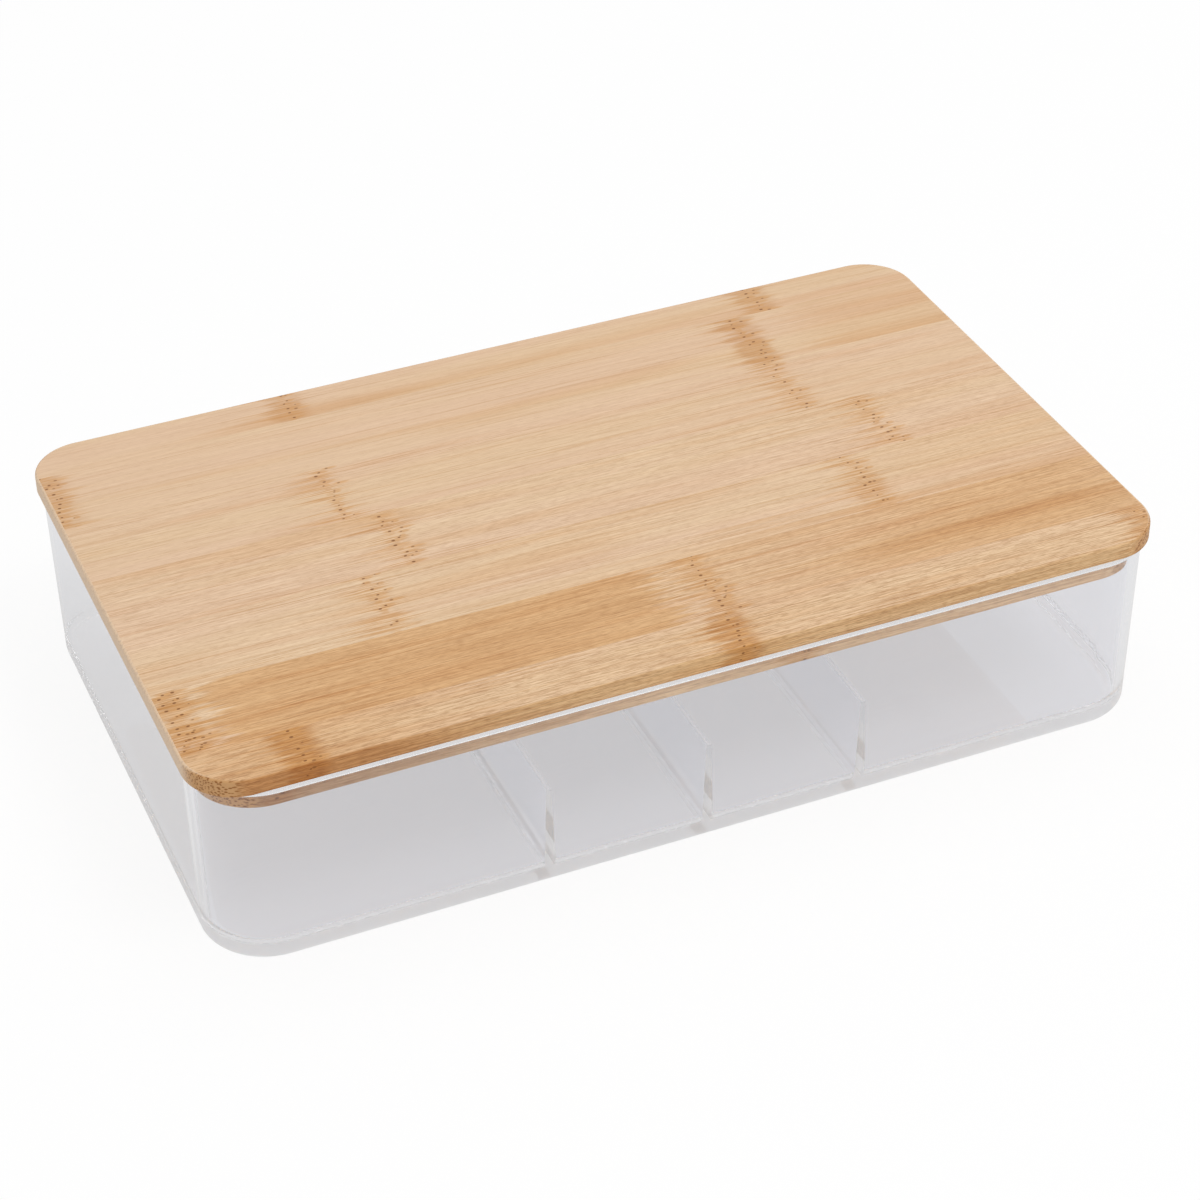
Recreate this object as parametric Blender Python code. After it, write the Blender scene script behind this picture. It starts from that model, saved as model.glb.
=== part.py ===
"""Clear sorting tray with three moulded dividers and a lift-off bamboo lid.

Metres, +Z up. The origin is at the middle of the tray's underside, +X along its length, +Y to the back.
"""

import math
from itertools import pairwise

import bmesh
import bpy
from mathutils import Vector

MM = 0.001

# Tray: a clear moulding, measured outside at the rim
TRAY_LENGTH = 258 * MM
TRAY_WIDTH = 158.2 * MM
TRAY_HEIGHT = 51.5 * MM
TRAY_CORNER_RADIUS = 18 * MM
TRAY_WALL = 2.4 * MM
TRAY_FLOOR = 2.6 * MM
WALL_DRAFT = math.radians(0.6)
FOOT_FILLET = 2 * MM
FLOOR_FILLET = 4 * MM
RIM_ROUND = 0.4 * MM

# Dividers: moulded with the tray, lower than its walls, thick at the foot and thin at the top
DIVIDER_COUNT = 3
DIVIDER_PITCH = 43 * MM
DIVIDER_HEIGHT = 26 * MM
DIVIDER_TOP_THICKNESS = 1.3 * MM
DIVIDER_DRAFT = math.radians(2.2)
DIVIDER_FOOT_FILLET = 1.6 * MM

# Lid: two layers of edge-glued bamboo strips, the lower one drops into the tray
PLATE_END_OVERHANG = 1 * MM
PLATE_SIDE_SETBACK = 1 * MM
PLATE_CORNER_RADIUS = 14 * MM
PLATE_THICKNESS = 5 * MM
PLATE_TOP_ROUND = 0.9 * MM
PLATE_UNDER_ROUND = 0.3 * MM
PLUG_DEPTH = 5.5 * MM
PLUG_UNDER_ROUND = 0.8 * MM
FULL_STRIPS = 5
EDGE_STRIP_WIDTH = 14.1 * MM

# Clearances
LID_SEAT_GAP = 0.3 * MM
PLUG_CLEARANCE = 0.6 * MM
GLUE_LINE = 0.2 * MM

# How finely round stretches are divided
CORNER_STEPS = 10
FILLET_STEPS = 4
SMOOTH_ANGLE = math.radians(35)

CLEAR_TINT = (0.93, 0.945, 0.955)
BAMBOO_TONES = ((0.70, 0.47, 0.26), (0.77, 0.55, 0.33), (0.73, 0.51, 0.29))


def clear_scene():
    for old in list(bpy.data.objects):
        bpy.data.objects.remove(old, do_unlink=True)


def material(name, color, roughness, transmission=0.0):
    made = bpy.data.materials.new(name)
    made.use_nodes = True
    shader = made.node_tree.nodes["Principled BSDF"]
    shader.inputs["Base Color"].default_value = (*color, 1.0)
    shader.inputs["Roughness"].default_value = roughness
    shader.inputs["Metallic"].default_value = 0.0
    shader.inputs["Transmission Weight"].default_value = transmission
    return made


def add_object(name, bm, finish, parent=None):
    mesh = bpy.data.meshes.new(name)
    bm.to_mesh(mesh)
    bm.free()
    mesh.shade_smooth()
    mesh.set_sharp_from_angle(angle=SMOOTH_ANGLE)
    mesh.materials.append(finish)
    made = bpy.data.objects.new(name, mesh)
    made.parent = parent
    bpy.context.scene.collection.objects.link(made)
    return made


def rounded_rectangle(length, width, radius, z):
    """The points of a rectangle with round corners, counter-clockwise, at one height."""
    points = []
    for corner in range(4):
        sign_x = (1, -1, -1, 1)[corner]
        sign_y = (1, 1, -1, -1)[corner]
        centre = Vector((sign_x * (length / 2 - radius), sign_y * (width / 2 - radius), z))
        for step in range(CORNER_STEPS + 1):
            turn = math.pi / 2 * (corner + step / CORNER_STEPS)
            points.append(centre + radius * Vector((math.cos(turn), math.sin(turn), 0)))
    return points


def extrude_ring(bm, ring, outline):
    """Extrudes a closed ring of corners and moves the new ring onto the next outline."""
    edges = [bm.edges.get(pair) for pair in pairwise([*ring, ring[0]])]
    grown = set(bmesh.ops.extrude_edge_only(bm, edges=edges)["geom"])
    risen = [next(edge.other_vert(corner) for edge in corner.link_edges
                  if edge.other_vert(corner) in grown) for corner in ring]
    for corner, point in zip(risen, outline):
        corner.co = point
    return risen


def loft(length, width, radius, section):
    """A closed solid whose outline is drawn in by each inset of the section, at that height."""
    outlines = [rounded_rectangle(length - 2 * inset, width - 2 * inset, radius - inset, z)
                for inset, z in section]
    bm = bmesh.new()
    ring = [bm.verts.new(point) for point in outlines[0]]
    bm.faces.new(ring)
    for outline in outlines[1:]:
        ring = extrude_ring(bm, ring, outline)
    bm.faces.new(ring)
    bmesh.ops.recalc_face_normals(bm, faces=bm.faces)
    return bm


def quarter_round(inset, z, radius, start, turn):
    """Section points on a quarter circle about (inset, z), from the angle start, turning by turn."""
    angles = [start + turn * math.pi / 2 * step / FILLET_STEPS for step in range(FILLET_STEPS + 1)]
    return [(inset + radius * math.cos(angle), z + radius * math.sin(angle)) for angle in angles]


def draft_inset(z):
    """How far the outer wall stands in from the rim's outline at a height."""
    return (TRAY_HEIGHT - z) * math.tan(WALL_DRAFT)


def tray_section():
    """The wall from the underside, up the outside, over the rim and down to the inner floor."""
    down, left, up = -math.pi / 2, math.pi, math.pi / 2
    foot = quarter_round(draft_inset(FOOT_FILLET) + FOOT_FILLET, FOOT_FILLET, FOOT_FILLET, down, -1)
    outer_lip = quarter_round(RIM_ROUND, TRAY_HEIGHT - RIM_ROUND, RIM_ROUND, left, -1)
    inner_lip = quarter_round(TRAY_WALL - RIM_ROUND, TRAY_HEIGHT - RIM_ROUND, RIM_ROUND, up, -1)
    floor_edge = TRAY_FLOOR + FLOOR_FILLET
    inner_foot = quarter_round(
        draft_inset(floor_edge) + TRAY_WALL + FLOOR_FILLET, floor_edge, FLOOR_FILLET, left, 1)
    return foot + outer_lip + inner_lip + inner_foot


def divider_solid(x):
    """A wedge-shaped wall with a flared foot, long enough to run into both long walls and the floor."""
    top = TRAY_FLOOR + DIVIDER_HEIGHT
    buried = TRAY_FLOOR / 2
    half_top = DIVIDER_TOP_THICKNESS / 2
    flare_start = TRAY_FLOOR + DIVIDER_FOOT_FILLET
    half_foot = half_top + (top - flare_start) * math.tan(DIVIDER_DRAFT)
    flare_end = half_foot + DIVIDER_FOOT_FILLET
    flare = [(flare_end - DIVIDER_FOOT_FILLET * math.cos(turn),
              flare_start - DIVIDER_FOOT_FILLET * math.sin(turn))
             for turn in (0, math.pi / 8, math.pi / 4, math.pi * 3 / 8)]
    side = [(half_top, top), *flare, (flare_end, buried)]
    profile = side + [(-offset, z) for offset, z in reversed(side)]
    half_width = TRAY_WIDTH / 2 - draft_inset(TRAY_FLOOR) - TRAY_WALL / 2
    bm = bmesh.new()
    face = bm.faces.new([bm.verts.new((x + offset, -half_width, z)) for offset, z in profile])
    swept = bmesh.ops.extrude_face_region(bm, geom=[face])
    moved = [item for item in swept["geom"] if isinstance(item, bmesh.types.BMVert)]
    bmesh.ops.translate(bm, verts=moved, vec=(0, 2 * half_width, 0))
    bmesh.ops.recalc_face_normals(bm, faces=bm.faces)
    return bm


def make_tray():
    finish = material("clear_plastic", CLEAR_TINT, roughness=0.06, transmission=1.0)
    shell = loft(TRAY_LENGTH, TRAY_WIDTH, TRAY_CORNER_RADIUS, tray_section())
    tray = add_object("tray", shell, finish)
    for number in range(DIVIDER_COUNT):
        x = (number - (DIVIDER_COUNT - 1) / 2) * DIVIDER_PITCH
        divider = add_object(f"divider_shape_{number + 1}", divider_solid(x), finish, parent=tray)
        divider.hide_render = True
        divider.display_type = "WIRE"
        join = tray.modifiers.new(f"divider_{number + 1}", "BOOLEAN")
        join.operation = "UNION"
        join.object = divider


def strip_joints(plate_width):
    """Where the strips meet, across the width: in the upper layer, and in the lower one half a strip on."""
    strip_width = (plate_width - 2 * EDGE_STRIP_WIDTH) / FULL_STRIPS
    first = EDGE_STRIP_WIDTH - plate_width / 2
    upper = [first + number * strip_width for number in range(FULL_STRIPS + 1)]
    lower = [joint + strip_width / 2 for joint in upper[:-1]]
    return upper, lower


def cut_strip(bm, low, high):
    """Keeps what lies between two joints, and closes the sawn faces."""
    for y, outward in ((low, -1), (high, 1)):
        cut = bmesh.ops.bisect_plane(
            bm, geom=[*bm.verts, *bm.edges, *bm.faces], dist=MM / 1000,
            plane_co=(0, y, 0), plane_no=(0, outward, 0), clear_outer=True)
        edges = [item for item in cut["geom_cut"] if isinstance(item, bmesh.types.BMEdge)]
        if edges:
            bmesh.ops.edgeloop_fill(bm, edges=edges)
    bmesh.ops.recalc_face_normals(bm, faces=bm.faces)


def make_layer(name, size, section, joints, lid):
    """One layer of the lid, sawn into strips that lie a glue line apart, numbered from the front."""
    length, width, radius = size
    edges = [-width, *joints, width]
    for number, (low, high) in enumerate(pairwise(edges)):
        strip = loft(length, width, radius, section)
        cut_strip(strip, low + GLUE_LINE / 2, high - GLUE_LINE / 2)
        tone = BAMBOO_TONES[number % len(BAMBOO_TONES)]
        node = f"{name}_{number + 1}"
        add_object(node, strip, material(f"bamboo_{node}", tone, roughness=0.5), parent=lid)


def make_lid():
    """The lid hangs on an empty at the middle of its seat, the underside of its upper layer."""
    lid = bpy.data.objects.new("lid", None)
    lid.location.z = TRAY_HEIGHT + LID_SEAT_GAP
    bpy.context.scene.collection.objects.link(lid)

    down, left = -math.pi / 2, math.pi
    plate_width = TRAY_WIDTH - 2 * PLATE_SIDE_SETBACK
    upper_joints, lower_joints = strip_joints(plate_width)
    plate_size = (TRAY_LENGTH + 2 * PLATE_END_OVERHANG, plate_width, PLATE_CORNER_RADIUS)
    plate_section = [
        *quarter_round(PLATE_UNDER_ROUND, PLATE_UNDER_ROUND, PLATE_UNDER_ROUND, down, -1),
        *quarter_round(PLATE_TOP_ROUND, PLATE_THICKNESS - PLATE_TOP_ROUND, PLATE_TOP_ROUND, left, -1)]
    make_layer("plate_strip", plate_size, plate_section, upper_joints, lid)

    plug_low = -GLUE_LINE - PLUG_DEPTH
    plug_inset = TRAY_WALL + draft_inset(lid.location.z + plug_low) + PLUG_CLEARANCE
    plug_size = (
        TRAY_LENGTH - 2 * plug_inset, TRAY_WIDTH - 2 * plug_inset, TRAY_CORNER_RADIUS - plug_inset)
    plug_section = [
        *quarter_round(PLUG_UNDER_ROUND, plug_low + PLUG_UNDER_ROUND, PLUG_UNDER_ROUND, down, -1),
        (0, -GLUE_LINE)]
    make_layer("plug_strip", plug_size, plug_section, lower_joints, lid)


clear_scene()
make_tray()
make_lid()
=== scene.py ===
# %% [markdown]
# # A clear sorting tray with a bamboo lid
#
# The tray is one clear plastic moulding with three low dividers. The lid is a board of bamboo strips in
# two layers: the upper layer rests on the tray's rim and the lower one drops inside the walls.
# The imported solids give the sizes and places, so this lesson measures them first and then adds what a
# photograph would show: rounder edges, the plastic, the bamboo, a floor, soft light and a camera.

# %% Load the frame
import math
from itertools import pairwise
from types import SimpleNamespace

import bmesh
import bpy
from mathutils import Color, Matrix, Vector


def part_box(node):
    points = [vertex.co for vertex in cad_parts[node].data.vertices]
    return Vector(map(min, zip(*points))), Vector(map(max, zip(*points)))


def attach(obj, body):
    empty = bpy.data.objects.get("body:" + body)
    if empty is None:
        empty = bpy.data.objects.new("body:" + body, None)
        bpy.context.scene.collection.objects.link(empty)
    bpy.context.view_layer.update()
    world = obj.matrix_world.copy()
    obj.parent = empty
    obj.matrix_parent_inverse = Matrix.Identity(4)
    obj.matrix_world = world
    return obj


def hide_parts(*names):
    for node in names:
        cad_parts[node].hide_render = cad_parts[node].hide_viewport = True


MM = 0.001


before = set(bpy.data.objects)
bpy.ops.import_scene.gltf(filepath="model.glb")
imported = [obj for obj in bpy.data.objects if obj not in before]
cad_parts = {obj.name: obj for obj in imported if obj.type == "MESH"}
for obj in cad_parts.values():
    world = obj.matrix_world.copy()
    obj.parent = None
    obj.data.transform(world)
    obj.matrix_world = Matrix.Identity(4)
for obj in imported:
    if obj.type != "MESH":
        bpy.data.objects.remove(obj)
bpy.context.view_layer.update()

# %% [markdown]
# ## The camera
#
# A product photograph is taken from a distance with a long lens, which keeps the edges nearly parallel.
# The lens, the place and the three angles were worked out from the straight edges of the lid and the tray.
# The camera starts looking straight down, so one turn about X sets how far it looks down, one about Z
# sets the side it looks from, and a small one about its own axis sets the tilt of the picture. A Track To
# constraint would aim the camera as well, but it could not give that tilt.

# %% Camera
LENS = 91.2
SENSOR_WIDTH = 36
NEAREST = 10 * MM
CAMERA_PLACE = Vector((-254.6, -610.3, 499.7)) * MM
CAMERA_AZIMUTH = math.radians(-22.96)
CAMERA_ELEVATION = math.radians(35.87)
CAMERA_TILT = math.radians(-0.65)


def add_object(name, data):
    """A new object in the scene, at the origin."""
    made = bpy.data.objects.new(name, data)
    bpy.context.scene.collection.objects.link(made)
    return made


camera = add_object("camera", bpy.data.cameras.new("camera"))
camera.data.lens = LENS
camera.data.sensor_width = SENSOR_WIDTH
camera.data.clip_start = NEAREST
camera.matrix_world = (
    Matrix.Translation(CAMERA_PLACE)
    @ Matrix.Rotation(CAMERA_AZIMUTH, 4, "Z")
    @ Matrix.Rotation(math.pi / 2 - CAMERA_ELEVATION, 4, "X")
    @ Matrix.Rotation(CAMERA_TILT, 4, "Z"))
bpy.context.scene.camera = camera
bpy.context.scene.view_settings.view_transform = "Standard"
print("camera", round(CAMERA_PLACE.length, 3), "m from the middle of the tray's underside")

# %% [markdown]
# ## Small helpers for materials
#
# A material is a tree of nodes. Adding a node, joining its inputs and picking its output takes three or
# four lines each time. The nodes could be dragged together in the editor, but a few short functions make
# the trees below read like sums.

# %% Node helpers
def add_node(tree, kind, **settings):
    made = tree.nodes.new("ShaderNode" + kind)
    for name, value in settings.items():
        setattr(made, name, value)
    return made


def feed(tree, value, socket):
    """Joins a socket to an input, or sets the input to a plain value."""
    if isinstance(value, bpy.types.NodeSocket):
        tree.links.new(value, socket)
    else:
        socket.default_value = value


def calc(tree, operation, *values):
    made = add_node(tree, "Math", operation=operation)
    for value, socket in zip(values, made.inputs):
        feed(tree, value, socket)
    return made.outputs[0]


def largest(tree, first, *others):
    for other in others:
        first = calc(tree, "MAXIMUM", first, other)
    return first


def ramp(tree, value, start, end, low=0.0, high=1.0):
    """Low before start and high after end, with a smooth step between them."""
    made = add_node(tree, "MapRange", interpolation_type="SMOOTHSTEP")
    for number, socket in zip((value, start, end, low, high), made.inputs):
        feed(tree, number, socket)
    return made.outputs[0]


print("a node tree can now be written with add_node, feed, calc, largest and ramp")

# %% [markdown]
# ## Colours and finishes
#
# Colours are easiest to pick in an image editor, which counts from 0 to 255 in steps that suit the eye.
# Blender works with amounts of light, so each picked colour is converted once. The Mix node holds inputs
# for numbers, vectors and colours side by side, and only its colour inputs are wanted here.

# %% Colour and shader helpers
FACTOR, FIRST_COLOUR, SECOND_COLOUR = 0, 6, 7
MIXED_COLOUR = 2


def colour(red, green, blue):
    """A colour from an image editor, as the light that Blender works with."""
    picked = Color((red / 255, green / 255, blue / 255))
    return (*picked.from_srgb_to_scene_linear(), 1)


def blend(tree, factor, first, second, kind="MIX"):
    made = add_node(tree, "Mix", data_type="RGBA", blend_type=kind)
    for value, place in ((factor, FACTOR), (first, FIRST_COLOUR), (second, SECOND_COLOUR)):
        feed(tree, value, made.inputs[place])
    return made.outputs[MIXED_COLOUR]


def new_finish(name):
    """An empty material and its node tree."""
    finish = bpy.data.materials.new(name)
    finish.use_nodes = True
    finish.node_tree.nodes.clear()
    return finish, finish.node_tree


def mix_shaders(tree, factor, first, second):
    """The first shader where the factor is 0 and the second where it is 1."""
    made = add_node(tree, "MixShader")
    for value, socket in zip((factor, first.outputs[0], second.outputs[0]), made.inputs):
        tree.links.new(value, socket)
    return made


def show(tree, shader):
    """Makes a shader the look of the surface."""
    tree.links.new(shader.outputs[0], add_node(tree, "OutputMaterial").inputs["Surface"])


print("a mid grey is", [round(value, 3) for value in colour(128, 128, 128)])

# %% [markdown]
# ## Floor
#
# The tray stands on a white sweep. Here that is a wide plain sheet just under the tray. Brighter lamps
# would make it white, but they would bleach the bamboo as well. So the sheet partly lights itself for the
# rays that the camera sees, which keeps it white and its shadow faint, while the rays that light dull
# surfaces find plain paper. Rays that are bent or mirrored by the plastic find a little less white, so that
# clear walls stand out from the background. This is a shortcut, not a thing of the studio: both levels were
# set by comparing the render with the photograph.

# %% Floor
SHEET_SIZE = 6.0
SHEET_DROP = 0.1 * MM
SHEET_COLOUR = (0.99, 0.99, 0.99, 1)
SEEN_GLOW = 0.9
MIRRORED_GLOW = 0.75
MIRRORED_WHITE = 0.738


def mesh_of(name, bm):
    """Turns an edit mesh into a mesh that an object can hold."""
    mesh = bpy.data.meshes.new(name)
    bm.to_mesh(mesh)
    bm.free()
    return mesh


paper, tree = new_finish("white_paper")
sheet = add_node(tree, "BsdfDiffuse")
sheet.inputs["Color"].default_value = SHEET_COLOUR
glow = add_node(tree, "Emission")
ray = add_node(tree, "LightPath").outputs
mirrored = largest(tree, ray["Is Glossy Ray"], ray["Is Transmission Ray"])
tree.links.new(ramp(tree, mirrored, 0, 1, 1, MIRRORED_WHITE), glow.inputs["Strength"])
glowing = largest(
    tree,
    calc(tree, "MULTIPLY", ray["Is Camera Ray"], SEEN_GLOW),
    calc(tree, "MULTIPLY", mirrored, MIRRORED_GLOW))
show(tree, mix_shaders(tree, glowing, sheet, glow))

bm = bmesh.new()
bmesh.ops.create_grid(bm, x_segments=1, y_segments=1, size=SHEET_SIZE / 2)
bmesh.ops.translate(bm, vec=(0, 0, -SHEET_DROP), verts=bm.verts)
floor = add_object("floor", mesh_of("floor", bm))
floor.data.materials.append(paper)
print("floor", SHEET_SIZE, "m wide")

# %% [markdown]
# ## Light
#
# Product photographs are lit by large soft boxes, because a small lamp would give hard shadows. A wide lamp
# hangs over the tray, and a smaller one in front, to the right, lights the lid's front face more on that
# side. A dome of even light fills the shadows. Where the camera looks into the dome, straight or by way of
# the plastic, it is plain white, so that its light can be set without turning the background grey.

# %% Lamps and dome
DOME_LIGHT = 0.48
LAMPS = {
    "top_softbox": {"place": (0.1, 0.3, 2.2), "size": 2.0, "power": 16.5},
    "front_softbox": {"place": (0.6, -1.0, 2.0), "size": 0.8, "power": 14.0},
}

for name, lamp in LAMPS.items():
    holder = add_object(name, bpy.data.lights.new(name, "AREA"))
    holder.data.size = lamp["size"]
    holder.data.energy = lamp["power"]
    holder.location = lamp["place"]
    holder.rotation_euler = Vector(lamp["place"]).to_track_quat("Z", "Y").to_euler()

dome = bpy.data.worlds.new("dome")
dome.use_nodes = True
tree = dome.node_tree
ray = add_node(tree, "LightPath").outputs
seen = largest(tree, ray["Is Camera Ray"], ray["Is Glossy Ray"], ray["Is Transmission Ray"])
sky = tree.nodes["Background"]
sky.inputs["Color"].default_value = (1, 1, 1, 1)
tree.links.new(largest(tree, seen, DOME_LIGHT), sky.inputs["Strength"])
bpy.context.scene.world = dome
print(len(LAMPS), "lamps and a dome of strength", DOME_LIGHT)

# %% [markdown]
# ## Helpers for shapes
#
# Both the tray and the boards of the lid start as a block with four rounded upright edges. A cube is
# stretched to the block's size and its upright edges are bevelled. A drawn outline that is extruded would
# do too, but the bevel needs no list of points and keeps the corners truly round.

# %% Block helpers
CORNER_STEPS = 20
# How near counts as touching, and how level counts as flat
TOUCH = 0.01 * MM
FLAT = 0.99


def round_edges(bm, edges, radius, steps):
    bmesh.ops.bevel(
        bm, geom=edges, offset=radius, offset_type="OFFSET", affect="EDGES",
        segments=steps, profile=0.5, material=-1, clamp_overlap=False)


def rounded_block(low, high, radius):
    """A closed block between two corners with its upright edges rounded."""
    size = high - low
    bm = bmesh.new()
    bmesh.ops.create_cube(bm, size=1)
    bmesh.ops.scale(bm, vec=size, verts=bm.verts)
    bmesh.ops.translate(bm, vec=(low + high) / 2, verts=bm.verts)
    upright = [edge for edge in bm.edges if abs(edge.verts[0].co.z - edge.verts[1].co.z) > size.z / 2]
    round_edges(bm, upright, radius, CORNER_STEPS)
    return bm


def face_at(bm, z, up=1):
    """The flat face at a height that looks up, or down where up is -1."""
    bm.normal_update()
    return next(face for face in bm.faces
                if up * face.normal.z > FLAT and abs(face.calc_center_median().z - z) < TOUCH)


print("round corners are drawn with", CORNER_STEPS, "steps")

# %% [markdown]
# ## From a shape to a piece
#
# A finished piece has a finish, rides on one of the bodies that move, and stands for one of the solids.
# Smooth shading would smear the flat faces into the rounds beside them. Where a face's area decides how
# much it turns the shading, flat faces stay flat without any extra edges, and that is what the Weighted
# Normal modifier does.

# %% Piece helper
SMOOTH_ANGLE = math.radians(40)


def make_piece(name, bm, finish, body, node):
    """Turns a shape into a finished piece that rides on a body and stands for a CAD node."""
    mesh = mesh_of(name, bm)
    mesh.shade_smooth()
    mesh.set_sharp_from_angle(angle=SMOOTH_ANGLE)
    mesh.materials.append(finish)
    piece = add_object(name, mesh)
    even = piece.modifiers.new("even_shading", "WEIGHTED_NORMAL")
    even.keep_sharp = True
    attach(piece, body)
    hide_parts(node)
    return piece


print("edges sharper than", round(math.degrees(SMOOTH_ANGLE)), "degrees stay sharp")

# %% [markdown]
# ## Clear plastic
#
# The tray is moulded in clear, polished plastic, and a Principled shader with full transmission bends and
# mirrors light as plastic does. One even roughness would look like new glass, so a little noise stands for
# faint haze from handling. The rim and the rounds of the foot are duller still. That isn't seen on the real
# tray: on rounds so thin, polished highlights break up into white dashes in a render, and a duller finish
# spreads them into an even line. The flat faces of the floor stay clear.

# %% Polished plastic
CLEAR_TINT = (0.969, 0.974, 0.999, 1)
PLASTIC_IOR = 1.5
# How thick the tray's floor is
BASE = 2.6 * MM
HAZE_SCALE = 38
HAZE_DETAIL = 4
HAZE_PATCHES = (0.35, 0.75)
HAZE = (0.004, 0.03)
DULL_BELOW_RIM = (0.8 * MM, 0.3 * MM)
RIM_DULLNESS = 0.22
FOOT_HEIGHTS = (5.5 * MM, 8 * MM)
FOOT_DULLNESS = 0.14
FLOOR_MARGIN = (0.05 * MM, 0.4 * MM)
GROUND_MARGIN = (0.05 * MM, 0.3 * MM)

tray_low, tray_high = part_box("tray")
plastic, tree = new_finish("clear_plastic")
coordinates = add_node(tree, "TexCoord").outputs["Object"]
split = add_node(tree, "SeparateXYZ")
tree.links.new(coordinates, split.inputs[0])
height = split.outputs["Z"]
patches = add_node(tree, "TexNoise")
patches.inputs["Scale"].default_value = HAZE_SCALE
patches.inputs["Detail"].default_value = HAZE_DETAIL
tree.links.new(coordinates, patches.inputs["Vector"])

haze = ramp(tree, patches.outputs[0], *HAZE_PATCHES, *HAZE)
dull_start, dull_end = [tray_high.z - below for below in DULL_BELOW_RIM]
dull_rim = ramp(tree, height, dull_start, dull_end, 0, RIM_DULLNESS)
from_floor = calc(tree, "ABSOLUTE", calc(tree, "SUBTRACT", height, BASE))
off_flats = calc(
    tree, "MULTIPLY", ramp(tree, from_floor, *FLOOR_MARGIN), ramp(tree, height, *GROUND_MARGIN))
dull_foot = ramp(tree, height, *FOOT_HEIGHTS, FOOT_DULLNESS, 0)
dull = calc(tree, "MULTIPLY_ADD", off_flats, dull_foot, calc(tree, "ADD", haze, dull_rim))

polished = add_node(tree, "BsdfPrincipled")
polished.inputs["Base Color"].default_value = CLEAR_TINT
polished.inputs["IOR"].default_value = PLASTIC_IOR
polished.inputs["Transmission Weight"].default_value = 1
tree.links.new(dull, polished.inputs["Roughness"])
print("plastic of index", PLASTIC_IOR, "with roughness from", HAZE[0], "to", HAZE[1])

# %% [markdown]
# ## Light through the plastic
#
# A shader that bends light stops the straight rays from the lamps, and the inside of the tray would be lit
# by chance alone. Caustics could bring that light back, at the cost of much noise. Instead those rays, and
# the ones between dull surfaces, meet a Transparent shader. Two more cases use it, and both are shortcuts.
# Where the underside touches the paper, light passes without being mirrored. How much of it touches can't
# be seen, so the share that is open to rays from inside was set by comparing the render with the
# photograph. And a ray that has been mirrored again and again is let out, because it would otherwise end
# as black along the edges.

# %% Open to light
LAMP_TINT = (0.985, 0.985, 0.992, 1)
UNDERSIDE = 0.5 * MM
TOUCHING_SHARE = 0.74
MOST_MIRRORS = 2.5

through = add_node(tree, "BsdfTransparent")
through.inputs["Color"].default_value = LAMP_TINT
ray = add_node(tree, "LightPath").outputs
from_inside = add_node(tree, "NewGeometry").outputs["Backfacing"]
resting = calc(tree, "MULTIPLY", calc(tree, "LESS_THAN", height, UNDERSIDE), from_inside)
open_way = largest(
    tree, ray["Is Shadow Ray"], ray["Is Diffuse Ray"],
    calc(tree, "MULTIPLY", resting, TOUCHING_SHARE),
    calc(tree, "GREATER_THAN", ray["Glossy Depth"], MOST_MIRRORS))
show(tree, mix_shaders(tree, open_way, polished, through))
print("clear plastic:", len(tree.nodes), "nodes")

# %% [markdown]
# ## The tray
#
# The moulding is a rounded block that is hollowed from the top: the top face is inset by the wall's
# thickness and the inner part is pushed down to the floor. A Solidify modifier would give walls and floor
# one thickness, and here they differ. Bevels then round the inner floor, the foot and the rim, each given
# by its radius and the number of steps that draw it.

# %% Tray shell
TRAY_RADIUS = 18 * MM
WALL = 2.4 * MM
FLOOR_ROUND = (4 * MM, 8)
FOOT_ROUND = (2 * MM, 6)
RIM_ROUND = (0.4 * MM, 3)
RIM_ANGLE = math.radians(45)

shell = rounded_block(tray_low, tray_high, TRAY_RADIUS)
top = face_at(shell, tray_high.z)
bmesh.ops.inset_region(shell, faces=[top], thickness=WALL, use_even_offset=True)
sunk = bmesh.ops.extrude_face_region(shell, geom=[top])["geom"]
bmesh.ops.delete(shell, geom=[top], context="FACES_ONLY")
inner_floor = next(item for item in sunk if isinstance(item, bmesh.types.BMFace))
bmesh.ops.translate(shell, vec=(0, 0, BASE - tray_high.z), verts=inner_floor.verts)
underside = face_at(shell, tray_low.z, up=-1)
round_edges(shell, list(inner_floor.edges), *FLOOR_ROUND)
round_edges(shell, list(underside.edges), *FOOT_ROUND)
rim = [edge for edge in shell.edges
       if all(abs(corner.co.z - tray_high.z) < TOUCH for corner in edge.verts)
       and edge.calc_face_angle(0) > RIM_ANGLE]
round_edges(shell, rim, *RIM_ROUND)
print("tray shell:", len(shell.faces), "faces")

# %% [markdown]
# ## Draft
#
# A mould has to let go of the part, so the walls lean out a little towards the rim. Tapering the whole
# block would change the ends more than the sides. Instead every corner of the mesh moves straight in from
# the wall, the further the lower it lies, and the thickness of the wall stays the same all the way down.

# %% Leaning walls
DRAFT = math.radians(0.6)

core = Vector((tray_high.x - TRAY_RADIUS, tray_high.y - TRAY_RADIUS))
for corner in shell.verts:
    flat = corner.co.to_2d()
    nearest = Vector((max(-core.x, min(core.x, flat.x)), max(-core.y, min(core.y, flat.y))))
    lean = (tray_high.z - corner.co.z) * math.tan(DRAFT)
    corner.co -= ((flat - nearest).normalized() * lean).to_3d()
bmesh.ops.recalc_face_normals(shell, faces=shell.faces)
print("leaning shell: volume", round(shell.calc_volume() / MM**3), "mm3")

# %% [markdown]
# ## Dividers
#
# Each divider is a wall that is thick at the foot and thin at the top, so that it leaves the mould, with
# a small round where it meets the floor. It could be a wedge that is simply stuck in the floor, but then
# the round would be missing. So it starts as a slab that is sunk in the floor. Two cuts mark a strip along
# the slab's middle, the strip is pulled up into the wall, its top is narrowed and the corners are bevelled.

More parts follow.
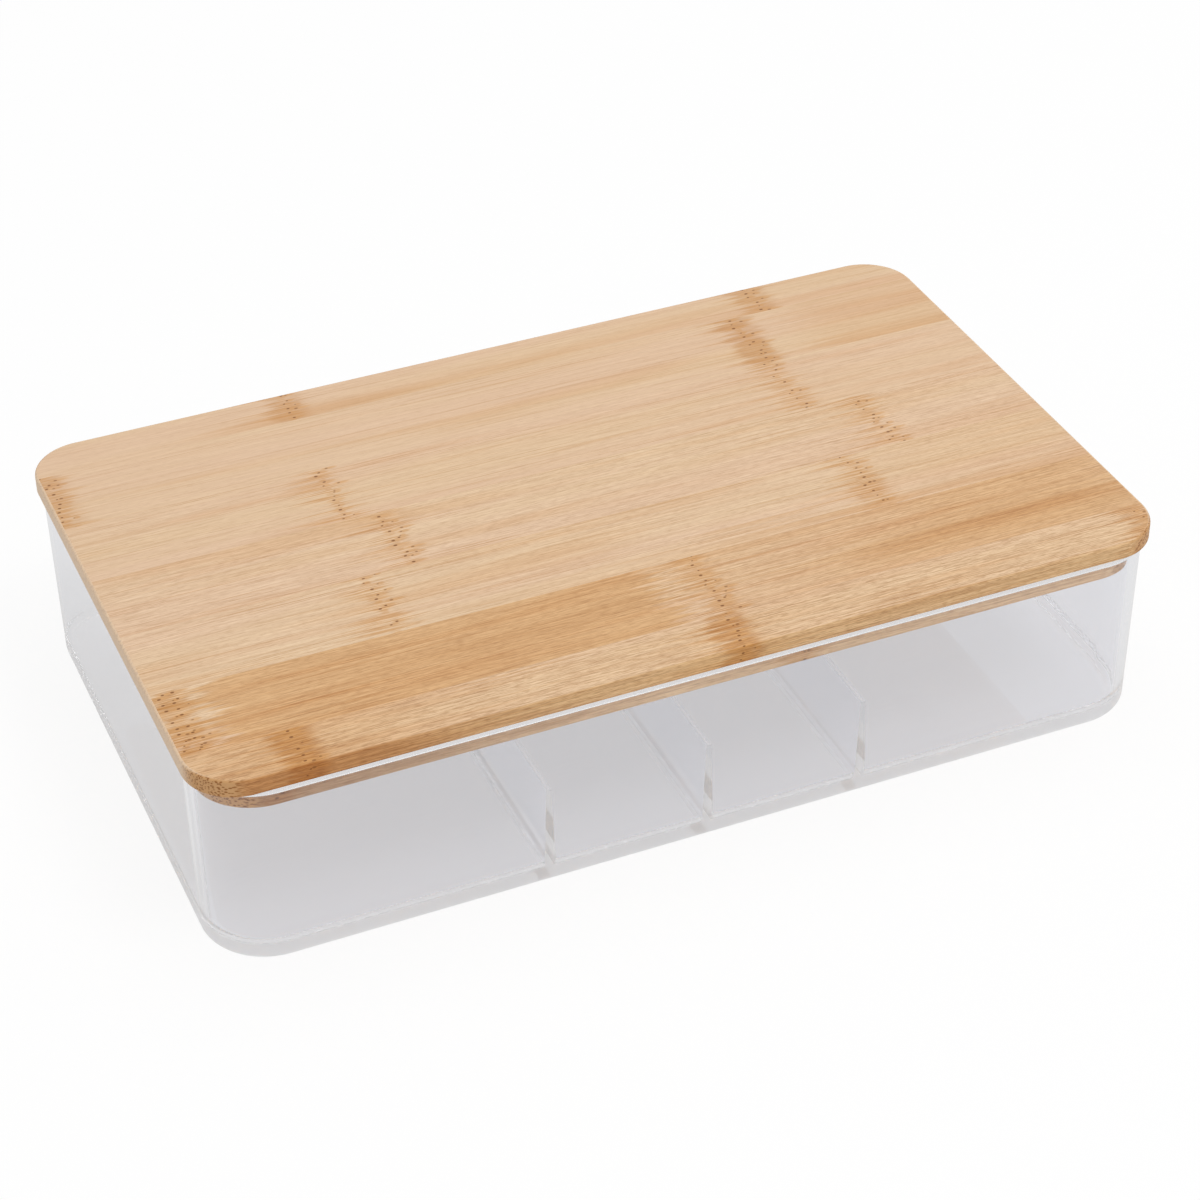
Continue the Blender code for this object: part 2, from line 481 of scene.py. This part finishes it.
# %% Slab and crest of a divider
DIVIDER_PITCH = 43 * MM
DIVIDER_HEIGHT = 26 * MM
DIVIDER_TOP = 1.3 * MM
DIVIDER_FOOT = 3.2 * MM
DIVIDER_FOOT_ROUND = (0.3 * MM, 5)
DIVIDER_TOP_ROUND = (0.35 * MM, 3)
SLAB_DROP = 0.12 * MM
SLAB_TOP = BASE - SLAB_DROP


def marked_slab(bm, x, reach):
    """A slab sunk in the floor, and the strip along its middle that the divider rises from."""
    half_width = DIVIDER_FOOT / 2 + DIVIDER_FOOT_ROUND[0] + SLAB_DROP
    made = bmesh.ops.create_cube(bm, size=1)["verts"]
    bmesh.ops.scale(bm, vec=(2 * half_width, 2 * reach, BASE / 2), verts=made)
    bmesh.ops.translate(bm, vec=(x, 0, SLAB_TOP - BASE / 4), verts=made)
    for side in (-1, 1):
        faces = {face for corner in made for face in corner.link_faces}
        edges = {edge for face in faces for edge in face.edges}
        cut = bmesh.ops.bisect_plane(
            bm, geom=[*made, *edges, *faces],
            plane_co=(x + side * DIVIDER_FOOT / 2, 0, 0), plane_no=(1, 0, 0))
        made += [item for item in cut["geom_cut"] if isinstance(item, bmesh.types.BMVert)]
    return next(face for corner in made for face in corner.link_faces
                if face.normal.z > FLAT and abs(face.calc_center_median().x - x) < TOUCH)


def raised_crest(bm, x, strip):
    """Pulls the strip up to the divider's top and narrows it there."""
    raised = bmesh.ops.extrude_face_region(bm, geom=[strip])["geom"]
    bmesh.ops.delete(bm, geom=[strip], context="FACES_ONLY")
    crest = next(item for item in raised if isinstance(item, bmesh.types.BMFace))
    bmesh.ops.translate(bm, vec=(0, 0, DIVIDER_HEIGHT + SLAB_DROP), verts=crest.verts)
    bmesh.ops.scale(bm, vec=(DIVIDER_TOP / DIVIDER_FOOT, 1, 1), verts=crest.verts,
                    space=Matrix.Translation((-x, 0, 0)))
    return crest


print("a divider narrows from", DIVIDER_FOOT / MM, "to", DIVIDER_TOP / MM, "mm")

# %% [markdown]
# ## A row of three
#
# The dividers stand one pitch apart about the middle, so the two inner compartments are alike. A mirrored
# or arrayed copy would serve as well, but a loop over three places needs no modifier. Each divider ends
# inside the tray's walls, so that the next step leaves no gap there.

# %% Three dividers
def divider(bm, x, reach):
    """Adds one divider that runs from wall to wall."""
    crest = raised_crest(bm, x, marked_slab(bm, x, reach))
    long_edges = [edge for edge in bm.edges if edge.calc_length() > reach]
    feet = [edge for edge in long_edges
            if abs(abs(edge.verts[0].co.x - x) - DIVIDER_FOOT / 2) < TOUCH
            and abs(edge.verts[0].co.z - SLAB_TOP) < TOUCH]
    tops = [edge for edge in crest.edges if edge in long_edges]
    round_edges(bm, feet, *DIVIDER_FOOT_ROUND)
    round_edges(bm, tops, *DIVIDER_TOP_ROUND)


dividers = bmesh.new()
reach = tray_high.y - WALL / 2 - (tray_high.z - BASE) * math.tan(DRAFT)
for step in (-1, 0, 1):
    divider(dividers, step * DIVIDER_PITCH, reach)
bmesh.ops.recalc_face_normals(dividers, faces=dividers.faces)
print("dividers:", len(dividers.faces), "faces, volume", round(dividers.calc_volume() / MM**3), "mm3")

# %% [markdown]
# ## One moulding
#
# Shell and dividers leave the mould as one piece. If the dividers only stood in the shell, their feet would
# show as surfaces inside the plastic, because light bends wherever a surface is. A Boolean union melts them
# together, so that plastic ends only where air begins.

# %% Melt the dividers into the shell
def melted(*shapes):
    """The union of two closed shapes as a new shape."""
    whole, added = [add_object("melt", mesh_of("melt", shape)) for shape in shapes]
    join = whole.modifiers.new("join", "BOOLEAN")
    join.operation = "UNION"
    join.object = added
    bpy.context.view_layer.update()
    bm = bmesh.new()
    bm.from_object(whole, bpy.context.evaluated_depsgraph_get())
    for holder in (whole, added):
        bpy.data.objects.remove(holder, do_unlink=True)
    return bm


tray = make_piece("tray_moulding", melted(shell, dividers), plastic, "tray", "tray")
print("tray moulding:", len(tray.data.polygons), "faces")

# %% [markdown]
# ## Bamboo
#
# Bamboo grows as a hollow stem of long fibres with a knuckle every hand's width. The stem is split into
# strips, so each strip shows fine streaks along its length and, where a knuckle was, a brown blot and a row
# of dark dots. A picture of bamboo would repeat itself from strip to strip. The finish is built up from
# noise instead, as the plant is from fibres, and every strip gets another part of the same noise.

# %% Bamboo colours
YELLOW = colour(241, 213, 178)
PINK = colour(241, 211, 180)
PLANK = colour(229, 187, 138)
BLOT = colour(197, 138, 75)
SMUDGE = colour(220, 164, 96)
DOT = colour(118, 68, 26)
SAWN = colour(208, 160, 108)
PORE = colour(154, 98, 48)
# Painted light: the pale colour that the flat part of each end is lightened towards
END_PAINTED_LIGHT = colour(248, 226, 199)
# Streaks darken the wood, so these are what it is multiplied by
WHITE = (1, 1, 1, 1)
FIBRE = (0.7, 0.6, 0.52, 1)
SPECK = (0.68, 0.58, 0.49, 1)
SMEAR = (0.88, 0.71, 0.53, 1)
LINE = (0.85, 0.75, 0.64, 1)
print("plain bamboo reflects", [round(value, 2) for value in YELLOW[:3]])

# %% [markdown]
# ## Streaks
#
# Fibres run along X, so each kind of streak is noise that is drawn out that way: long and broad for the
# tone, short and narrow for specks. The table gives the length and width of each in mm and the noise values
# between which it comes in. A Wave texture makes stripes too, but they would be as even as print.

# %% Streaks of one strip
STREAKS = {
    "tone": {"long": 200, "wide": 11, "seed": 0, "comes_in": (0.35, 0.65)},
    "smears": {"long": 110, "wide": 6, "seed": 47, "comes_in": (0.46, 0.7)},
    "long_ragged": {"long": 170, "wide": 2.4, "seed": 7, "comes_in": (0.4, 0.6)},
    "ragged": {"long": 60, "wide": 1.3, "seed": 11, "comes_in": (0.3, 0.7)},
    "middle": {"long": 50, "wide": 1.6, "seed": 17, "comes_in": (0.3, 0.7)},
    "fine": {"long": 16, "wide": 0.31, "seed": 23, "comes_in": (0.42, 0.6)},
    "specks": {"long": 2.6, "wide": 0.18, "seed": 29, "comes_in": (0.46, 0.66), "detail": 1},
    "lines": {"long": 55, "wide": 0.3, "seed": 37, "comes_in": (0.57, 0.66)},
    "crowds": {"long": 150, "wide": 5, "seed": 41, "comes_in": (0.38, 0.6)},
}
STREAK_DETAIL = 2
SEED_STEP = (7.3, 3.1, 5.7)


def noise(tree, coordinates, streak, seed):
    """One kind of streak, at another place in the noise for every seed."""
    place = add_node(tree, "Mapping")
    moved = seed + streak["seed"]
    place.inputs["Location"].default_value = [moved * step for step in SEED_STEP]
    across = 1 / (streak["wide"] * MM)
    place.inputs["Scale"].default_value = (1 / (streak["long"] * MM), across, across)
    tree.links.new(coordinates, place.inputs["Vector"])
    made = add_node(tree, "TexNoise")
    made.inputs["Scale"].default_value = 1
    made.inputs["Detail"].default_value = streak.get("detail", STREAK_DETAIL)
    tree.links.new(place.outputs[0], made.inputs["Vector"])
    return made.outputs[0]


def start_wood(tree, seed):
    """What the parts of a strip's finish read: its coordinates, the way a face looks and its streaks."""
    coordinates = add_node(tree, "TexCoord").outputs["Object"]
    place = add_node(tree, "SeparateXYZ")
    tree.links.new(coordinates, place.inputs[0])
    looks = add_node(tree, "SeparateXYZ")
    tree.links.new(add_node(tree, "NewGeometry").outputs["Normal"], looks.inputs[0])
    streaks = {name: noise(tree, coordinates, streak, seed) for name, streak in STREAKS.items()}
    return SimpleNamespace(
        tree=tree, coordinates=coordinates, place=place.outputs, looks=looks.outputs, streaks=streaks)


def shown(wood, name, low=0.0, high=1.0):
    """A kind of streak, from low where it is missing to high where it is full."""
    return ramp(wood.tree, wood.streaks[name], *STREAKS[name]["comes_in"], low, high)


print(len(STREAKS), "kinds of streak")

# %% [markdown]
# ## Darker stretches
#
# The strips come from several stems and heights, so some are darker over part of their length, and such a
# stretch ends in long teeth, fibre by fibre. Painting the ends by hand would take a picture. Moving each
# place along X by the ragged streaks tears a straight edge into teeth by itself.

# %% Stretches
STRETCH_TEAR = 30 * MM
STRETCH_SOFT = 5
SIDE_SOFT = 3


def between(tree, value, start, end, soft):
    """1 between two places in mm and 0 outside them, with soft ends."""
    after = ramp(tree, value, (start - soft) * MM, (start + soft) * MM)
    before = ramp(tree, value, (end - soft) * MM, (end + soft) * MM, 1, 0)
    return calc(tree, "MULTIPLY", after, before)


def torn(wood, along, tear):
    """A place along the strip, moved to and fro from fibre to fibre."""
    back = calc(wood.tree, "SUBTRACT", along, tear / 2)
    return calc(wood.tree, "MULTIPLY_ADD", wood.streaks["ragged"], tear, back)


def stain(wood, stretch):
    """How strongly a darker stretch shows."""
    tree = wood.tree
    along = torn(wood, wood.place["X"], STRETCH_TEAR)
    full = between(tree, along, *stretch["x"], stretch.get("soft", STRETCH_SOFT))
    if "y" in stretch:
        full = calc(tree, "MULTIPLY", full, between(tree, wood.place["Y"], *stretch["y"], SIDE_SOFT))
    if stretch.get("streaky"):
        full = calc(tree, "MULTIPLY", full, shown(wood, "long_ragged"))
    return calc(tree, "MULTIPLY", full, stretch["depth"])


print("darker stretches end in teeth up to", STRETCH_TEAR / MM, "mm long")

# %% [markdown]
# ## Rows of dots
#
# Where a knuckle was, the fibre bundles turn through the wall of the stem, and each leaves a dark dot with
# a tan tail along the fibres. A Voronoi texture in one dimension puts one dot in each step across the
# strip, and the random colour of each step says how far the dot is off the line, whether it is missing and
# how large it is. As geometry the dots would be too many and too small.

# %% A row of dots
ROW_STEP = 2.4 * MM
ROW_RANDOM = 0.85
ROW_WANDER = 2.4 * MM
DOT_LENGTH = 0.42 * MM
DOT_WIDTH = 0.27 * MM
DOT_SMALLEST = 0.4
DOT_GROWTH = 1.1
DOT_EDGE = (0.5, 1.6)
DOT_DEPTH = 0.85
TAIL_SHORTEST = 1.2 * MM
TAIL_GROWTH = 3.4 * MM
TAIL_WIDTH = 0.75 * MM
TAIL_SHIFT = 0.7 * MM
TAIL_EDGE = (0.1, 1.0)
TAIL_DEPTH = 0.55


def from_middle(tree, along, length, across, width):
    """0 in the middle of an ellipse, 1 on its outline and more outside."""
    x = calc(tree, "DIVIDE", along, length)
    y = calc(tree, "DIVIDE", across, width)
    return calc(tree, "MULTIPLY_ADD", x, x, calc(tree, "MULTIPLY", y, y))


def dot_row(tree, off, across, shift, missing):
    """A wavering row of dots across the strip, and their tails along the fibres."""
    row = add_node(tree, "TexVoronoi", voronoi_dimensions="1D")
    row.inputs["Scale"].default_value = 1
    row.inputs["Randomness"].default_value = ROW_RANDOM
    feed(tree, calc(tree, "MULTIPLY_ADD", across, 1 / ROW_STEP, shift), row.inputs["W"])
    chance = add_node(tree, "SeparateColor")
    tree.links.new(row.outputs["Color"], chance.inputs[0])
    wander, presence, size = chance.outputs[:3]
    kept = calc(tree, "GREATER_THAN", presence, missing)
    aside = calc(tree, "MULTIPLY", row.outputs["Distance"], ROW_STEP)
    along = calc(tree, "MULTIPLY_ADD", wander, ROW_WANDER, calc(tree, "SUBTRACT", off, ROW_WANDER / 2))

    large = calc(tree, "MULTIPLY_ADD", size, DOT_GROWTH, DOT_SMALLEST)
    outline = calc(tree, "DIVIDE", from_middle(tree, along, DOT_LENGTH, aside, DOT_WIDTH), large)
    dots = ramp(tree, outline, *DOT_EDGE, DOT_DEPTH, 0)

    long = calc(tree, "MULTIPLY_ADD", size, TAIL_GROWTH, TAIL_SHORTEST)
    behind = calc(tree, "SUBTRACT", along, TAIL_SHIFT)
    tails = ramp(tree, from_middle(tree, behind, long, aside, TAIL_WIDTH), *TAIL_EDGE, TAIL_DEPTH, 0)
    return calc(tree, "MULTIPLY", dots, kept), calc(tree, "MULTIPLY", tails, kept)


print("about one dot in", ROW_STEP / MM, "mm across a strip")

# %% [markdown]
# ## Knuckles
#
# Round the dots the wood is browner: a blot right at the knuckle, and thin tan streaks that feather out
# along the fibres, further to one side than to the other. Each knuckle lies at a place along X that is
# given for its strip, with a second, sparser row of dots beside the first. Random places would be less
# work, but some neighbours would then have their knuckles in line, which a maker avoids.

# %% One knuckle
BLOT_TEAR = 12 * MM
BLOT_SPAN = (-5, 4.5)
BLOT_SOFT = 2
BLOT_PALEST = 0.6
FEATHER_TURN = (-1 * MM, 1 * MM)
FEATHER_SHORTER = 1.8
FEATHER_SPREAD = 80 * MM
FEATHER_HELD_BACK = -31 * MM
FEATHER_SHORTEST = 2 * MM
FEATHER_EDGE = (0.2, 1.0)
FEATHER_DEPTH = 0.65
FEATHER_PALEST = 0.2
ROW_SHIFT = 0.37
MISSING_DOTS = 0.12
SECOND_ROW = {"off": 2.3 * MM, "shift": 50.4, "missing": 0.5, "depth": 0.7}


def feathers(wood, off):
    """How strongly the tan streaks beside a knuckle show."""
    tree = wood.tree
    lopsided = ramp(tree, off, *FEATHER_TURN, 1, FEATHER_SHORTER)
    aside = calc(tree, "MULTIPLY", calc(tree, "ABSOLUTE", off), lopsided)
    reach = calc(tree, "MULTIPLY_ADD", wood.streaks["ragged"], FEATHER_SPREAD, FEATHER_HELD_BACK)
    reach = largest(tree, reach, FEATHER_SHORTEST)
    full = ramp(tree, calc(tree, "DIVIDE", aside, reach), *FEATHER_EDGE, FEATHER_DEPTH, 0)
    return calc(tree, "MULTIPLY", full, shown(wood, "fine", FEATHER_PALEST, 1))


def knuckle(wood, at, depth):
    """How strongly the blot, the smudge and the dots of a knuckle show, at a place along X in mm."""
    tree = wood.tree
    off = calc(tree, "SUBTRACT", wood.place["X"], at * MM)
    across = calc(tree, "ADD", wood.place["Y"], wood.place["Z"])
    span = between(tree, torn(wood, off, BLOT_TEAR), *BLOT_SPAN, BLOT_SOFT)
    blot = calc(tree, "MULTIPLY", span, shown(wood, "ragged", BLOT_PALEST * depth, depth))

    shift = at * ROW_SHIFT
    dots, tails = dot_row(tree, off, across, shift, MISSING_DOTS)
    second_off = calc(tree, "SUBTRACT", off, SECOND_ROW["off"])
    more_dots, more_tails = dot_row(
        tree, second_off, across, shift + SECOND_ROW["shift"], SECOND_ROW["missing"])
    dots = largest(tree, dots, calc(tree, "MULTIPLY", more_dots, SECOND_ROW["depth"]))
    return blot, largest(tree, tails, more_tails, feathers(wood, off)), dots


print("a knuckle's blot spans", BLOT_SPAN[1] - BLOT_SPAN[0], "mm")

# %% [markdown]
# ## Wood and grain
#
# The plain wood is two close tones with darker stretches and soft smears. Over the wood and its knuckles
# lies the grain: fibres, short specks, and thin lines that crowd together in places. Grain darkens what
# it covers as a stain does, so it is multiplied in. The strips differ in how strong their grain is.

# %% Wood and grain of one strip
SMEAR_DEPTH = 0.42
FIBRE_MEAN = 0.5
FIBRE_LEVEL = -1.4
MIDDLE_SHARE = 0.4
FINE_SHARE = 2.1
SPECK_DEPTH = 0.58
LINES_FEW = 0.35
LINES_CROWDED = 0.45
LINES_GROWTH = 1.05


def plain_wood(wood, stretches):
    """The wood between the knuckles, before its grain."""
    tree = wood.tree
    body = blend(tree, shown(wood, "tone"), YELLOW, PINK)
    for stretch in stretches:
        body = blend(tree, stain(wood, stretch), body, stretch.get("tone", PLANK))
    return blend(tree, shown(wood, "smears", 0, SMEAR_DEPTH), body, SMEAR, "MULTIPLY")


def grained(wood, body, grain):
    """Lays fibres, specks and thin lines over the wood."""
    tree = wood.tree
    level = FIBRE_MEAN + FIBRE_LEVEL * grain
    fibre = calc(tree, "MULTIPLY_ADD", wood.streaks["middle"], MIDDLE_SHARE * grain, level)
    fibre = calc(tree, "MULTIPLY_ADD", wood.streaks["fine"], FINE_SHARE * grain, fibre)
    body = blend(tree, 1, body, blend(tree, fibre, WHITE, FIBRE), "MULTIPLY")
    body = blend(tree, shown(wood, "specks", 0, SPECK_DEPTH * grain), body, SPECK, "MULTIPLY")
    crowded = shown(wood, "crowds", LINES_FEW * grain, LINES_CROWDED + LINES_GROWTH * grain)
    return blend(tree, calc(tree, "MULTIPLY", shown(wood, "lines"), crowded), body, LINE, "MULTIPLY")


print("at full grain the fibres swing by", MIDDLE_SHARE + FINE_SHARE, "times their noise")

# %% [markdown]
# ## Sides and ends
#
# Sawn across, the fibre bundles show as dark dots in pale pith. A Voronoi texture with long thin cells
# gives such dots, whatever way the end is rounded. The flat part of each end is painted paler than the
# rounded corners, and that is painted light. The long sides are darker than the top and darker towards
# the left. That is partly the wood's own tone and partly painted shade, and both go into the colour of the
# two long sides. The lower layer's sides are also painted lighter at the right. Each face could have a
# material of its own, but the way it looks can decide just as well, and the rounds then change softly from
# one to the other.

# %% Side and end grain
PORE_CELL = (40 * MM, 0.5 * MM, 0.54 * MM)
PORE_EDGE = (0.25, 0.55)
SIDE_LOOK = (0.5, 0.9)
END_LOOK = (0.12, 0.4)
ROUND_LOOK = (0.05, 0.45)
# How strongly the flat ends are painted lighter, as painted light
END_PAINTED_LIGHT_DEPTH = 0.62
SIDE_TURNS_PALE = (-110 * MM, -5 * MM)


def looking(wood, axis, span, low=0.0, high=1.0):
    """From low to high with how squarely a face looks along an axis, either way."""
    return ramp(wood.tree, calc(wood.tree, "ABSOLUTE", wood.looks[axis]), *span, low, high)


def with_side_tone_and_painted_light(wood, body, side_tones_and_painted_light):
    """Tones the long sides with wood tone and painted shade, from the first tone at the left to the second.
    """
    # Painted shade and light on the long sides: with the wood's tone they darken the sides, more at the
    # left.
    edge = blend(wood.tree, ramp(wood.tree, wood.place["X"], *SIDE_TURNS_PALE), *side_tones_and_painted_light)
    return blend(wood.tree, looking(wood, "Y", SIDE_LOOK), body, edge, "MULTIPLY")


def with_ends(wood, body):
    """Puts the cut fibre bundles on the ends."""
    tree = wood.tree
    cells = add_node(tree, "Mapping")
    cells.inputs["Scale"].default_value = [1 / size for size in PORE_CELL]
    tree.links.new(wood.coordinates, cells.inputs["Vector"])
    bundles = add_node(tree, "TexVoronoi", voronoi_dimensions="3D")
    bundles.inputs["Scale"].default_value = 1
    tree.links.new(cells.outputs[0], bundles.inputs["Vector"])
    cut = blend(tree, ramp(tree, bundles.outputs["Distance"], *PORE_EDGE, 1, 0), SAWN, PORE)
    # Painted light: the flat part of each end is made paler than the sawn wood.
    cut = blend(tree, looking(wood, "Y", ROUND_LOOK, END_PAINTED_LIGHT_DEPTH, 0), cut, END_PAINTED_LIGHT)
    return blend(tree, looking(wood, "X", END_LOOK), body, cut)


print("fibre bundles", PORE_CELL[1] / MM, "mm apart on the ends")

# %% [markdown]
# ## The finish of one strip
#
# The layers go on in the order in which they lie: wood, knuckles, sides with their painted shade, grain,
# dots and ends. Each strip has its own material with its own knuckles. One material for the whole lid would
# need a picture to tell the strips apart. Sanded bamboo has a satin sheen, a little uneven from fibre to
# fibre, and a relief too fine for geometry, so a weak bump is enough.

# %% Bamboo finish
SHEEN = 0.25
SATIN = (0.44, 0.58)
RELIEF_STRENGTH = 0.1
RELIEF_DEPTH = 0.1 * MM


def bamboo(name, seed, marks, side_tones_and_painted_light):
    """The finish of one strip with its own grain, knuckles and darker stretches."""
    finish, tree = new_finish(name)
    wood = start_wood(tree, seed)
    body = plain_wood(wood, marks["stretches"])
    dotted = []
    for at, depth in marks["knuckles"]:
        blot, smudge, dots = knuckle(wood, at, depth)
        body = blend(tree, smudge, blend(tree, blot, body, BLOT), SMUDGE)
        dotted.append(dots)
    body = grained(wood, with_side_tone_and_painted_light(wood, body, side_tones_and_painted_light), marks["grain"])
    for dots in dotted:
        body = blend(tree, dots, body, DOT)

    relief = add_node(tree, "Bump")
    relief.inputs["Strength"].default_value = RELIEF_STRENGTH
    relief.inputs["Distance"].default_value = RELIEF_DEPTH
    tree.links.new(wood.streaks["fine"], relief.inputs["Height"])
    sanded = add_node(tree, "BsdfPrincipled")
    tree.links.new(with_ends(wood, body), sanded.inputs["Base Color"])
    tree.links.new(shown(wood, "middle", *SATIN), sanded.inputs["Roughness"])
    tree.links.new(relief.outputs[0], sanded.inputs["Normal"])
    sanded.inputs["Specular IOR Level"].default_value = SHEEN
    show(tree, sanded)
    return finish


print("sanded bamboo with roughness from", SATIN[0], "to", SATIN[1])

# %% [markdown]
# ## Sawing the lid
#
# Each layer of the lid is a rounded board, so the whole board is made first, with its edges rounded, and
# then sawn into strips where the solids have their joints. Strips that are rounded one by one would not
# meet so neatly at the corners. Neighbouring strips share the saw cut, because on the real lid the glue
# line is too thin to see.

# %% Boards and strips
MERGE = 0.001 * MM
OVERSHOOT = 1 * MM


def board(names, radius):
    """The rounded block that a layer of strips is sawn from, its box and the saw cuts along Y."""
    boxes = [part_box(name) for name in names]
    low = Vector([min(box[0][axis] for box in boxes) for axis in range(3)])
    high = Vector([max(box[1][axis] for box in boxes) for axis in range(3)])
    joints = [(front[1].y + back[0].y) / 2 for front, back in pairwise(boxes)]
    cuts = [low.y - OVERSHOOT, *joints, high.y + OVERSHOOT]
    return rounded_block(low, high, radius), low, high, cuts


def sawn_strip(block, low, high):
    """A copy of the block between two saw cuts, with the cuts closed."""
    strip = block.copy()
    for y, outward in ((low, -1), (high, 1)):
        cut = bmesh.ops.bisect_plane(
            strip, geom=[*strip.verts, *strip.edges, *strip.faces], dist=MERGE,
            plane_co=(0, y, 0), plane_no=(0, outward, 0), clear_outer=True)
        edges = [item for item in cut["geom_cut"] if isinstance(item, bmesh.types.BMEdge)]
        if edges:
            bmesh.ops.edgeloop_fill(strip, edges=edges)
    bmesh.ops.recalc_face_normals(strip, faces=strip.faces)
    return strip


def lay_strips(names, block, cuts, marks, side_tones_and_painted_light, first_seed):
    """Saws a board into strips and finishes each as a piece of the lid."""
    for number, name in enumerate(names):
        finish = bamboo(f"bamboo_{name}", first_seed + number, marks[number], side_tones_and_painted_light)
        strip = sawn_strip(block, cuts[number], cuts[number + 1])
        make_piece(name.replace("strip", "bamboo"), strip, finish, "lid", name)
    block.free()


print("strips are sawn with a tolerance of", MERGE / MM, "mm")

# %% [markdown]
# ## The upper layer
#
# Seven strips show on top, numbered from the front. What sets them apart is where their knuckles lie and
# where they are darker, so each has an entry with its grain, its knuckles as places along X with the depth
# of their blots, and its darker stretches. All places are in mm. Scattered marks would be easier to write,
# but the strips would then look all alike.

# %% Marks of the upper strips
PLATE_MARKS = [
    {"grain": 1.3,
     "knuckles": [(-103, 0.9), (9, 0.75), (126, 0.4)],
     "stretches": [
         {"x": (-140, -70), "soft": 25, "depth": 0.7},
         {"x": (-70, 140), "soft": 25, "depth": 0.3},
         {"x": (-8, 22), "y": (-84, -77), "soft": 8, "depth": 0.6}]},
    {"grain": 1.0,
     "knuckles": [(-127, 0.2), (-124, 0.1), (12, 0.1)],
     "stretches": [
         {"x": (-118, 0), "soft": 3, "depth": 1.0},
         {"x": (3, 140), "soft": 20, "depth": 0.45},
         {"x": (65, 140), "soft": 30, "depth": 0.75},
         {"x": (40, 140), "y": (-60, -50), "soft": 18, "depth": 0.8, "streaky": True},
         {"x": (55, 125), "y": (-56, -52), "soft": 20, "depth": 0.35, "tone": BLOT},
         {"x": (-75, 0), "y": (-54, -48), "soft": 20, "depth": 0.2, "tone": BLOT}]},
    {"grain": 0.7,
     "knuckles": [(-66, 0.0), (69, 0.15)],
     "stretches": [
         {"x": (20, 70), "y": (-38, -28), "soft": 14, "depth": 0.6, "streaky": True},
         {"x": (75, 140), "soft": 20, "depth": 0.22}]},
    {"grain": 0.72,
     "knuckles": [(-53, 0.0), (85, 0.0)],
     "stretches": []},
    {"grain": 0.46,
     "knuckles": [(-61, 0.0), (71, 0.1)],
     "stretches": []},
    {"grain": 0.35,
     "knuckles": [(-128.5, 0.3), (72, 0.5)],
     "stretches": [
         {"x": (88, 140), "soft": 10, "depth": 0.3},
         {"x": (90, 140), "y": (37, 42), "soft": 6, "depth": 0.45}]},
    {"grain": 0.34,
     "knuckles": [(-58, 0.35), (83, 0.35)],
     "stretches": [
         {"x": (-70, 25), "y": (63, 70), "soft": 20, "depth": 0.32}]},
]
print(sum(len(marks["knuckles"]) for marks in PLATE_MARKS), "knuckles on the upper strips")

# %% [markdown]
# ## Laying the upper layer
#
# The board's upper edge is sanded to a soft round and its lower edge is only broken, so both get a bevel
# before the sawing. A Bevel modifier would round the saw cuts as well, and they have to stay sharp to meet
# their neighbours.

# %% Upper strips
PLATE_RADIUS = 14 * MM
PLATE_TOP_ROUND = (0.9 * MM, 5)
PLATE_UNDER_ROUND = (0.3 * MM, 2)
# Left and right tones of the long sides: partly the wood's own tone, partly painted shade
PLATE_SIDE_TONES_AND_SHADE = ((0.81, 0.64, 0.45, 1), (0.99, 0.93, 0.78, 1))
PLATE_SEED = 1

plate_names = [f"plate_strip_{number + 1}" for number in range(len(PLATE_MARKS))]
block, low, high, cuts = board(plate_names, PLATE_RADIUS)
round_edges(block, list(face_at(block, high.z).edges), *PLATE_TOP_ROUND)
round_edges(block, list(face_at(block, low.z, up=-1).edges), *PLATE_UNDER_ROUND)
lay_strips(plate_names, block, cuts, PLATE_MARKS, PLATE_SIDE_TONES_AND_SHADE, PLATE_SEED)
print("upper layer:", len(plate_names), "strips,", round((high.z - low.z) / MM, 1), "mm thick")

# %% [markdown]
# ## The lower layer
#
# The lower layer drops into the tray and keeps the lid in place. Little of it shows besides its front face,
# seen through the wall, so its knuckles can follow a rule: they step along from strip to strip and start
# again, two to a strip. Its top lies against the upper layer and stays square.

# %% Lower strips
PLUG_STRIPS = 6
PLUG_RADIUS = 14.9 * MM
PLUG_UNDER_ROUND = (0.8 * MM, 4)
# Left and right tones of the lower layer's sides: painted shade at the left, painted light at the right
PLUG_SIDE_TONES_SHADE_AND_LIGHT = ((0.72, 0.62, 0.55, 1), (1.06, 1.04, 0.95, 1))
PLUG_SEED = 21
PLUG_DEPTHS = (0.1, 0.5, 0.3)
PLUG_GRAIN = 1.0
PLUG_BLOT = 0.3
FIRST_KNUCKLE = -110
KNUCKLE_STEP = 37
KNUCKLE_ROUND = 120
KNUCKLE_GAP = 135
WHOLE_LENGTH = (-140, 140)


def plug_marks(number):
    """The knuckles and the even tone of one lower strip."""
    first = FIRST_KNUCKLE + KNUCKLE_STEP * number % KNUCKLE_ROUND
    tone = {"x": WHOLE_LENGTH, "depth": PLUG_DEPTHS[number % len(PLUG_DEPTHS)]}
    knuckles = [(first, PLUG_BLOT), (first + KNUCKLE_GAP, PLUG_BLOT)]
    return {"grain": PLUG_GRAIN, "knuckles": knuckles, "stretches": [tone]}


plug_names = [f"plug_strip_{number + 1}" for number in range(PLUG_STRIPS)]
block, low, high, cuts = board(plug_names, PLUG_RADIUS)
round_edges(block, list(face_at(block, low.z, up=-1).edges), *PLUG_UNDER_ROUND)
plugs = [plug_marks(number) for number in range(PLUG_STRIPS)]
lay_strips(plug_names, block, cuts, plugs, PLUG_SIDE_TONES_SHADE_AND_LIGHT, PLUG_SEED)
print("lower layer:", len(plug_names), "strips,", round((high.z - low.z) / MM, 1), "mm thick")
